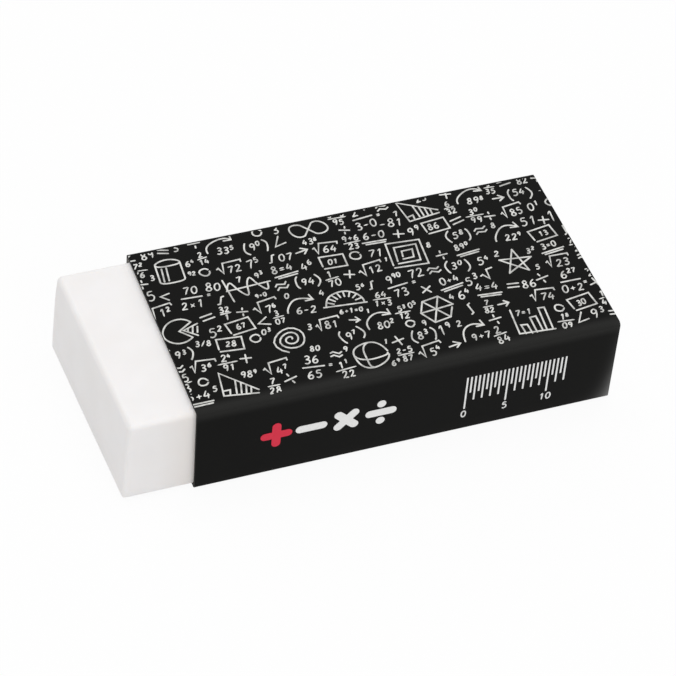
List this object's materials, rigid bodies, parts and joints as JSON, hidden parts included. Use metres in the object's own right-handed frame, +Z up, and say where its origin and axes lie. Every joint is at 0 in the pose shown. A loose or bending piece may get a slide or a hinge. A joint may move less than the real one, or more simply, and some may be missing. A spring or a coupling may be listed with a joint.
{
  "type": "rubber eraser",
  "caption": "White block eraser in a folded black card sleeve that slides along it; rubs out pencil with the end that stands out of the sleeve.",
  "frame": {"origin": "under the middle of the whole at rest, on the plane that the sleeve rests on", "axes": "+X along the block from its working end to its plain end, +Y from the sleeve's printed front panel to its back, +Z up"},
  "size_m": [0.0592, 0.0263, 0.0121],
  "materials": {
    "white_vinyl": "matt, slightly translucent white vinyl",
    "black_card": "smooth printed card with a slight sheen",
    "white_ink": "matt printed white",
    "red_ink": "matt printed red"
  },
  "bodies": {
    "sleeve": {"sleeve": "black_card", "figure_print": "white_ink", "sign_print": "white_ink", "front_print": "white_ink", "accent_print": "red_ink"},
    "block": {"eraser": "white_vinyl"}
  },
  "joints": [
    {"name": "block_slide", "type": "slide", "parent": "sleeve", "child": "block", "axis": [1, 0, 0], "range_m": [-0.0496, 0.0591]}
  ]
}
